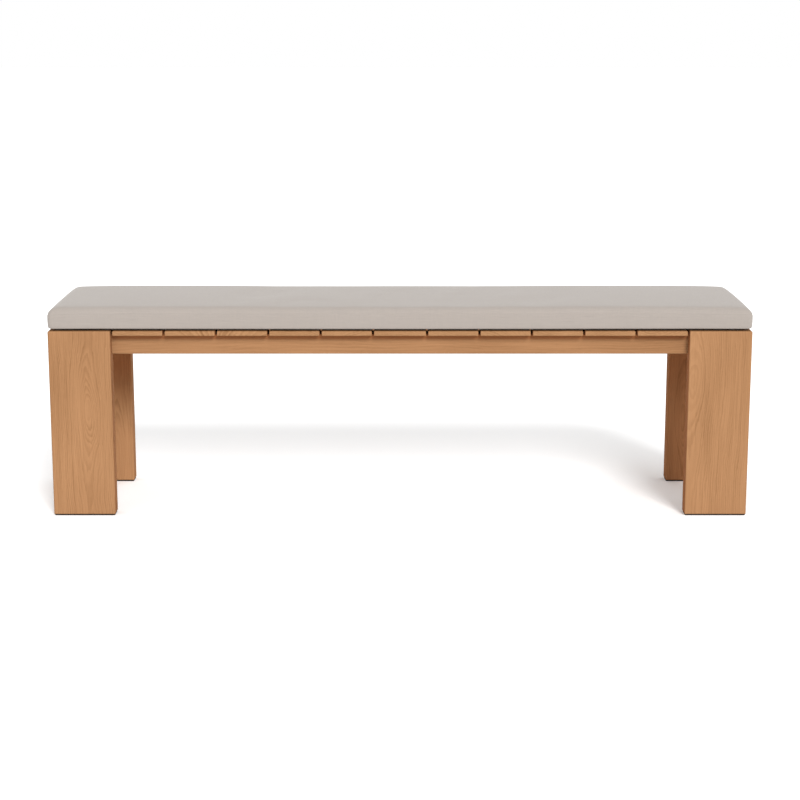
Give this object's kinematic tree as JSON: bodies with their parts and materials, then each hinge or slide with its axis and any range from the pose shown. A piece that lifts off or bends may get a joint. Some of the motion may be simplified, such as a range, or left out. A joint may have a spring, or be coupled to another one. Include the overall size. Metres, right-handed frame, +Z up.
{
  "type": "garden bench",
  "caption": "Backless slatted hardwood garden bench on four plank legs, with a loose full-length box cushion whose zipped cover comes off.",
  "frame": {"origin": "on the ground, under the centre of the bench", "axes": "+X along the bench to the right as seen from the front, the front faces -Y, +Z up"},
  "size_m": [1.6, 0.36, 0.4853],
  "materials": {
    "teak": "matte",
    "glide_plastic": "matte",
    "stainless": "satin",
    "brass_insert": "satin",
    "dowel_beech": "matte",
    "cushion_fabric": "matte",
    "foam": "matte",
    "zip_tape": "matte",
    "zip_plastic": "satin",
    "zip_metal": "satin"
  },
  "bodies": {
    "bench_frame": {"leg_front_left": "teak", "leg_front_right": "teak", "leg_back_left": "teak", "leg_back_right": "teak", "foot_glide_front_left": "glide_plastic", "foot_glide_front_right": "glide_plastic", "foot_glide_back_left": "glide_plastic", "foot_glide_back_right": "glide_plastic", "apron_front": "teak", "apron_back": "teak", "end_rail_left": "teak", "end_rail_right": "teak", "cross_rail_left": "teak", "cross_rail_right": "teak", "slat_cleat_front": "teak", "slat_cleat_back": "teak", "seat_slat_01": "teak", "seat_slat_02": "teak", "seat_slat_03": "teak", "seat_slat_04": "teak", "seat_slat_05": "teak", "seat_slat_06": "teak", "seat_slat_07": "teak", "seat_slat_08": "teak", "seat_slat_09": "teak", "seat_slat_10": "teak", "seat_slat_11": "teak", "end_slat_left": "teak", "end_slat_right": "teak", "leg_bolts": "stainless", "leg_bolt_washers": "stainless", "leg_inserts": "brass_insert", "slat_screws": "stainless", "cleat_screws": "stainless", "glide_screws": "stainless", "rail_dowels": "dowel_beech"},
    "cushion": {"cushion_cover": "cushion_fabric", "cushion_core": "foam", "zipper_tape_upper": "zip_tape", "zipper_tape_lower": "zip_tape", "zipper_teeth_upper": "zip_plastic", "zipper_teeth_lower": "zip_plastic"},
    "zip_slider": {"zip_slider": "zip_metal"},
    "zip_pull": {"zip_pull": "zip_metal"}
  },
  "joints": [
    {"name": "cushion_lift", "type": "slide", "parent": "bench_frame", "child": "cushion", "axis": [0, 0, 1], "range_m": [0, 0.15]},
    {"name": "zip_slide", "type": "slide", "parent": "cushion", "child": "zip_slider", "axis": [1, 0, 0], "range_m": [0, 1.18]},
    {"name": "zip_pull_swing", "type": "hinge", "parent": "zip_slider", "child": "zip_pull", "pos_m": [-0.591, 0.1758, 0.4583], "axis": [0, 0, 1], "range_deg": [0, 170]}
  ]
}
